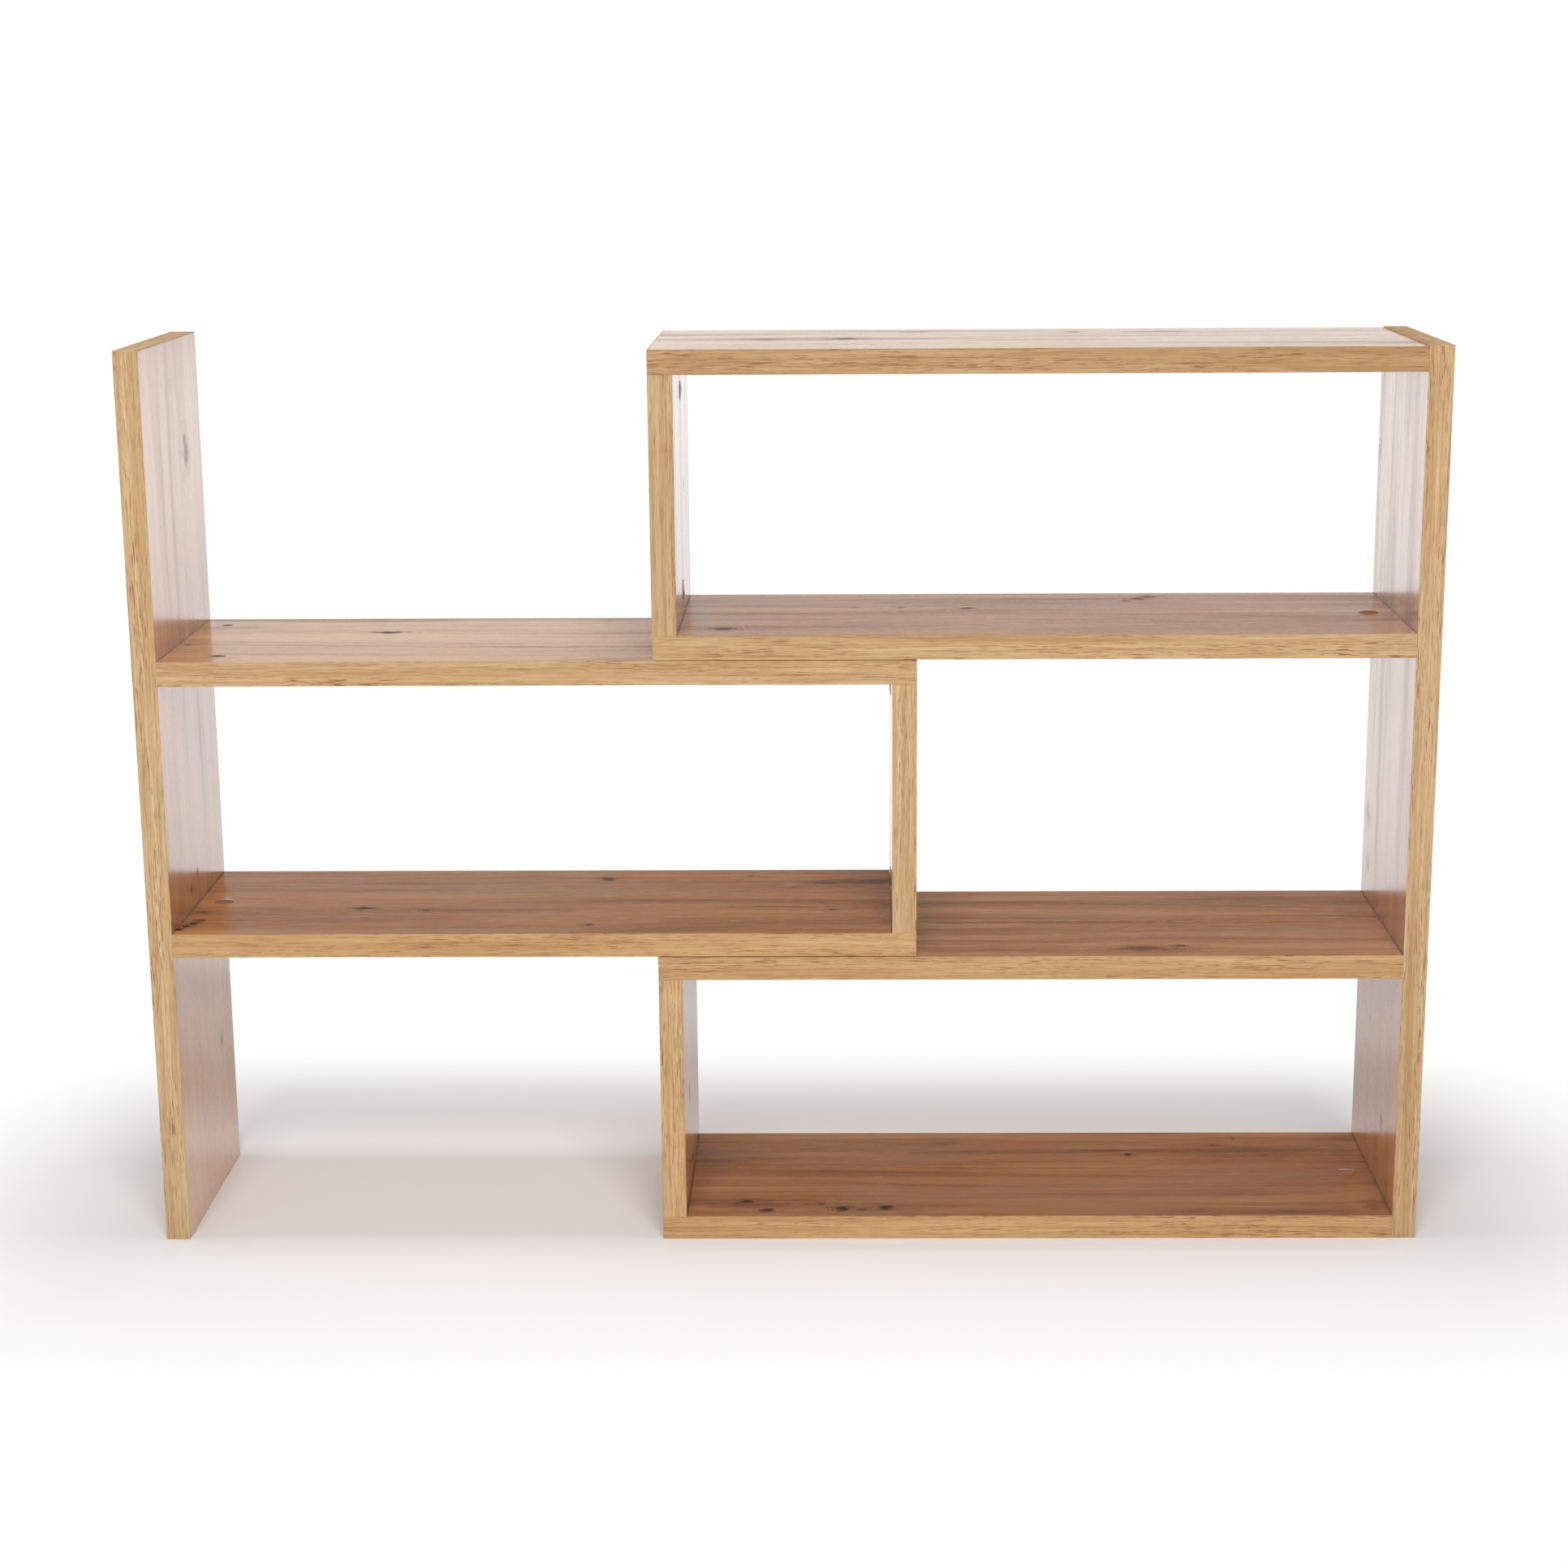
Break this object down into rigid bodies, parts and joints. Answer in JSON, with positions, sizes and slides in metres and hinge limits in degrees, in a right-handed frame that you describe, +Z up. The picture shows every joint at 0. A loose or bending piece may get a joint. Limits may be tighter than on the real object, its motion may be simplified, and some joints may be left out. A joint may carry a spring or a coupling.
{
  "type": "extendable bookshelf",
  "caption": "Open bookshelf of laminated oak-look boards, with a stepped outline and no back, made of a left and a right unit that slide into each other to set its width.",
  "frame": {"origin": "on the floor, in the middle of the width and depth that the bookshelf has at rest", "axes": "+X along the width to the right as seen from the front, +Y from the front to the back, +Z up"},
  "size_m": [1.168, 0.22, 0.827],
  "materials": {
    "laminated_board": "satin",
    "edge_band": "satin",
    "cam_zinc": "satin",
    "bolt_steel": "satin",
    "dowel_wood": "matte",
    "cap_plastic": "satin"
  },
  "bodies": {
    "right_unit": {"right_side_panel": "laminated_board", "right_side_panel_edging": "edge_band", "top_shelf": "laminated_board", "top_shelf_edging": "edge_band", "right_upper_shelf": "laminated_board", "right_upper_shelf_edging": "edge_band", "right_middle_shelf": "laminated_board", "right_middle_shelf_edging": "edge_band", "bottom_shelf": "laminated_board", "bottom_shelf_edging": "edge_band", "upper_upright": "laminated_board", "upper_upright_edging": "edge_band", "lower_upright": "laminated_board", "lower_upright_edging": "edge_band", "right_cam_discs": "cam_zinc", "right_cam_bolts": "bolt_steel", "right_dowels": "dowel_wood", "right_cover_caps": "cap_plastic"},
    "left_unit": {"left_side_panel": "laminated_board", "left_side_panel_edging": "edge_band", "left_upper_shelf": "laminated_board", "left_upper_shelf_edging": "edge_band", "left_lower_shelf": "laminated_board", "left_lower_shelf_edging": "edge_band", "left_upright": "laminated_board", "left_upright_edging": "edge_band", "left_cam_discs": "cam_zinc", "left_cam_bolts": "bolt_steel", "left_dowels": "dowel_wood", "left_cover_caps": "cap_plastic"}
  },
  "joints": [
    {"name": "unit_slide", "type": "slide", "parent": "right_unit", "child": "left_unit", "axis": [1, 0, 0], "range_m": [-0.132, 0.443]}
  ]
}
